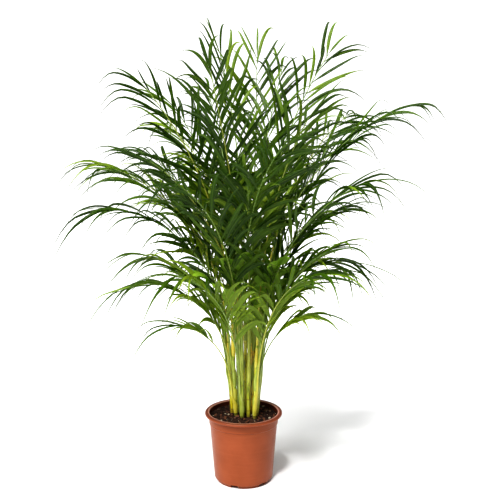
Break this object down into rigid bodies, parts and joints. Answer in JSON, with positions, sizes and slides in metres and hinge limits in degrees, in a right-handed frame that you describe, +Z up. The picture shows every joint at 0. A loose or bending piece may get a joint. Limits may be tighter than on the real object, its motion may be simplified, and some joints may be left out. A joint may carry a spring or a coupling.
{
  "type": "potted palm",
  "caption": "Clump of slim palm canes with arching feather fronds, rooted in soil in a round tapered nursery pot with a rolled rim and a notched foot.",
  "frame": {"origin": "on the pot's axis, on the surface that the pot's foot stands on", "axes": "+Z up along the pot's axis; -Y towards the front of the plant, the side with the young leaves; +X to its right seen from the front"},
  "size_m": [1.0878, 1.0424, 1.4269],
  "materials": {
    "pot_plastic": "satin",
    "potting_soil": "matte",
    "cane": "satin",
    "frond": "satin",
    "young_leaf": "satin"
  },
  "bodies": {
    "root": {"pot": "pot_plastic", "soil": "potting_soil", "cane_01": "cane", "cane_02": "cane", "cane_03": "cane", "cane_04": "cane", "cane_05": "cane", "cane_06": "cane", "cane_07": "cane", "cane_08": "cane", "cane_09": "cane", "cane_10": "cane", "cane_11": "cane", "cane_12": "cane", "cane_13": "cane", "frond_01": "frond", "frond_02": "frond", "frond_03": "frond", "frond_04": "frond", "frond_05": "frond", "frond_06": "frond", "frond_07": "frond", "frond_08": "frond", "frond_09": "frond", "frond_10": "frond", "frond_11": "frond", "frond_12": "frond", "frond_13": "frond", "frond_14": "frond", "frond_15": "frond", "frond_16": "frond", "frond_17": "frond", "frond_18": "frond", "frond_19": "frond", "frond_20": "frond", "frond_21": "frond", "frond_22": "frond", "frond_23": "frond", "frond_24": "frond", "frond_25": "frond", "frond_26": "frond", "frond_27": "frond", "frond_28": "frond", "frond_29": "frond", "frond_30": "frond", "frond_31": "frond", "frond_32": "frond", "frond_33": "frond", "frond_34": "frond", "frond_35": "frond", "frond_36": "frond", "frond_37": "frond", "frond_38": "frond", "young_leaf_39": "young_leaf", "young_leaf_40": "young_leaf", "young_leaf_41": "young_leaf", "young_leaf_42": "young_leaf"}
  },
  "joints": []
}
